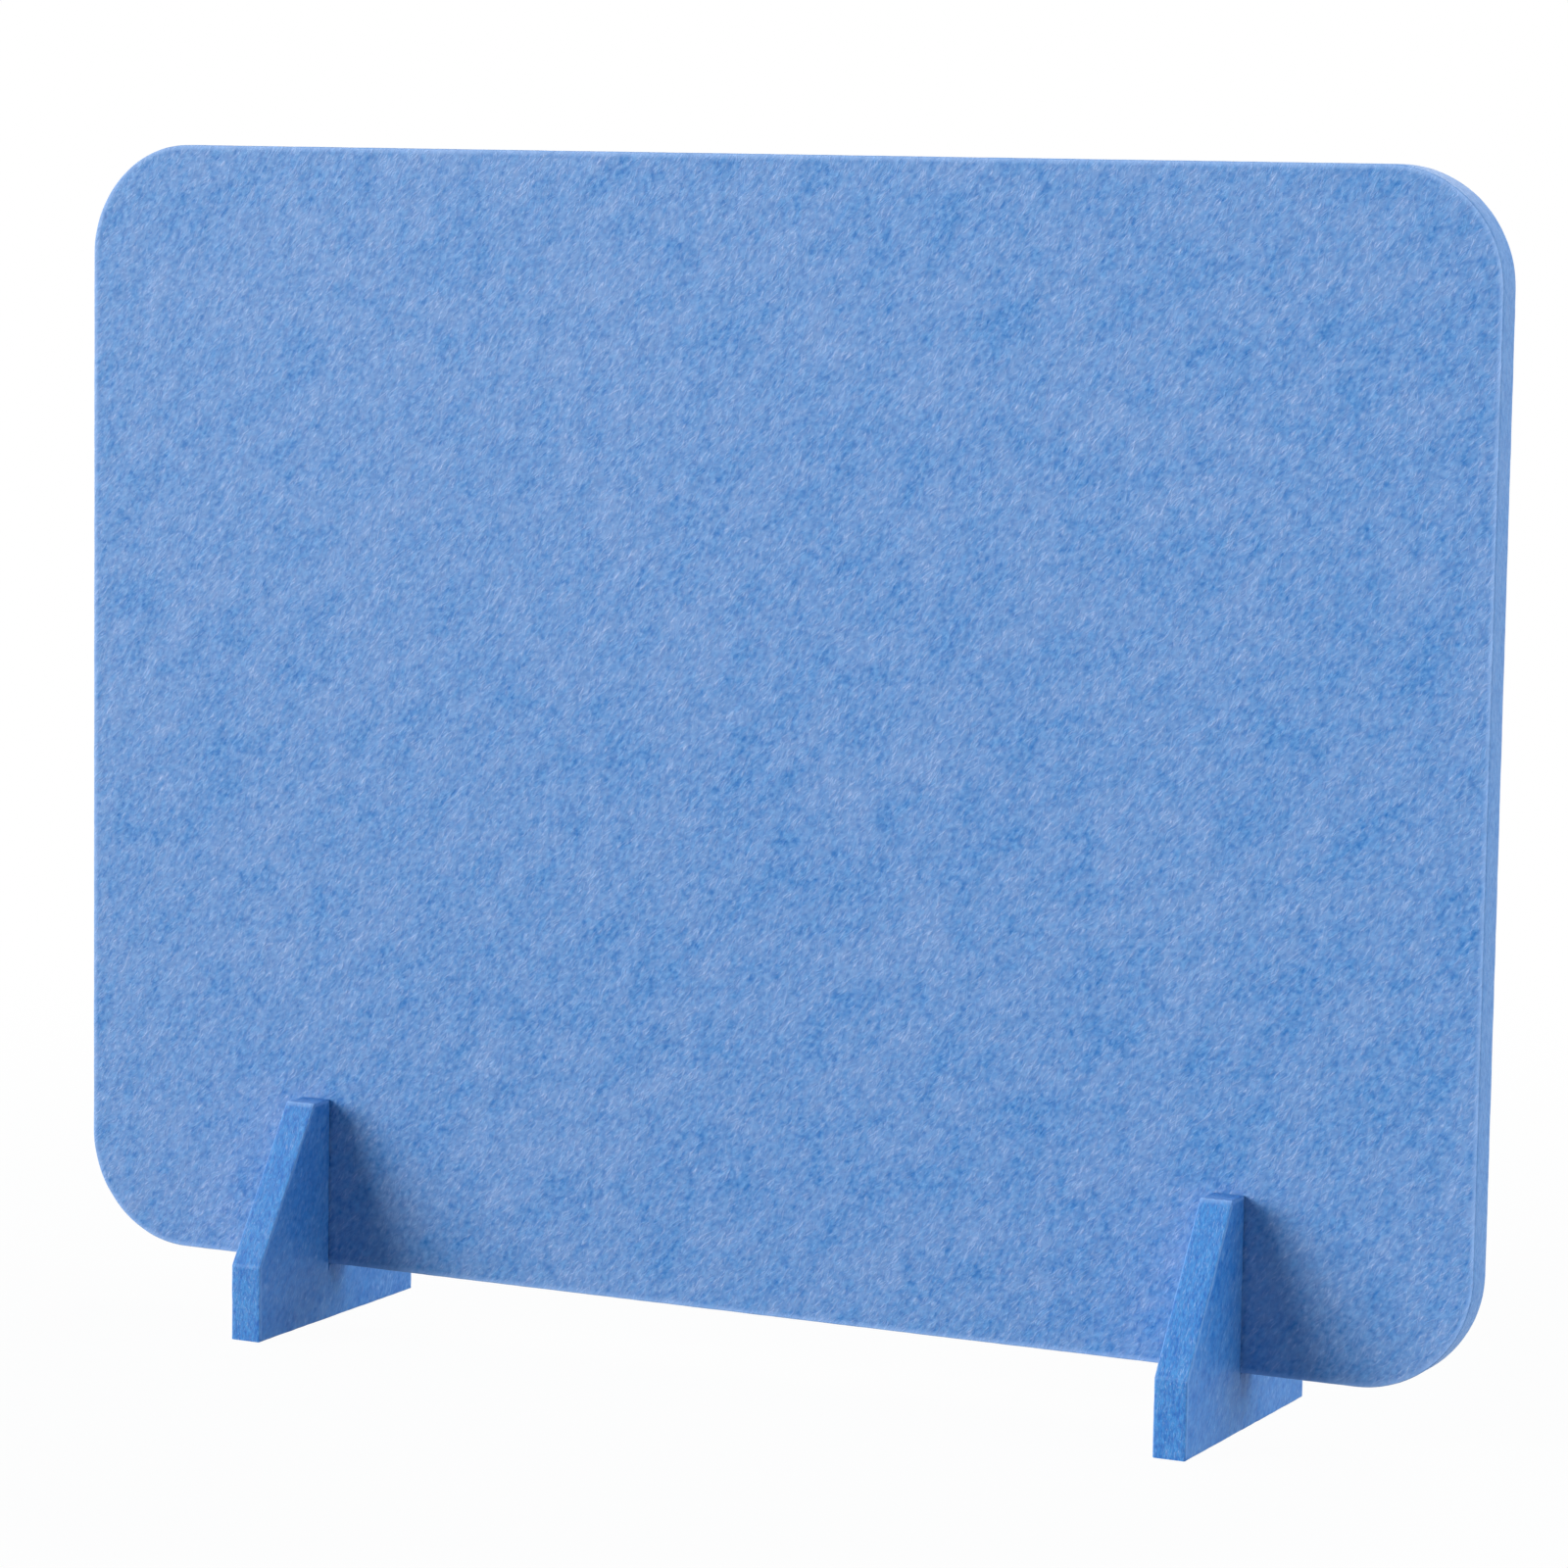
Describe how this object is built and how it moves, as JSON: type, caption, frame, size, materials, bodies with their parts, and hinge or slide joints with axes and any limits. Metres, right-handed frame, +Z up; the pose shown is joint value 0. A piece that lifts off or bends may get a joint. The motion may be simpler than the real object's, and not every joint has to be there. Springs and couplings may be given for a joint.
{
  "type": "desktop acoustic screen",
  "caption": "Upright felt board with rounded corners, held square to the desk by slotted felt feet, that divides a desk and absorbs sound.",
  "frame": {"origin": "on the desk surface, under the middle of the panel", "axes": "+X along the panel towards the right foot as seen from the front, +Y from front to back through the board, +Z up"},
  "size_m": [0.4, 0.08, 0.315],
  "materials": {
    "felt_board": "matte needled polyester felt, heather blue, cut edges left raw"
  },
  "bodies": {
    "left_foot": {"left_foot": "felt_board"},
    "panel": {"panel": "felt_board"},
    "right_foot": {"right_foot": "felt_board"}
  },
  "joints": [
    {"name": "panel_lift", "type": "slide", "parent": "left_foot", "child": "panel", "axis": [0, 0, 1], "range_m": [0, 0.05]},
    {"name": "right_foot_pull", "type": "slide", "parent": "panel", "child": "right_foot", "axis": [0, 0, -1], "range_m": [0, 0.05]}
  ],
  "couplings": [
    {"joint": "right_foot_pull", "follows": "panel_lift", "ratio": 1}
  ]
}
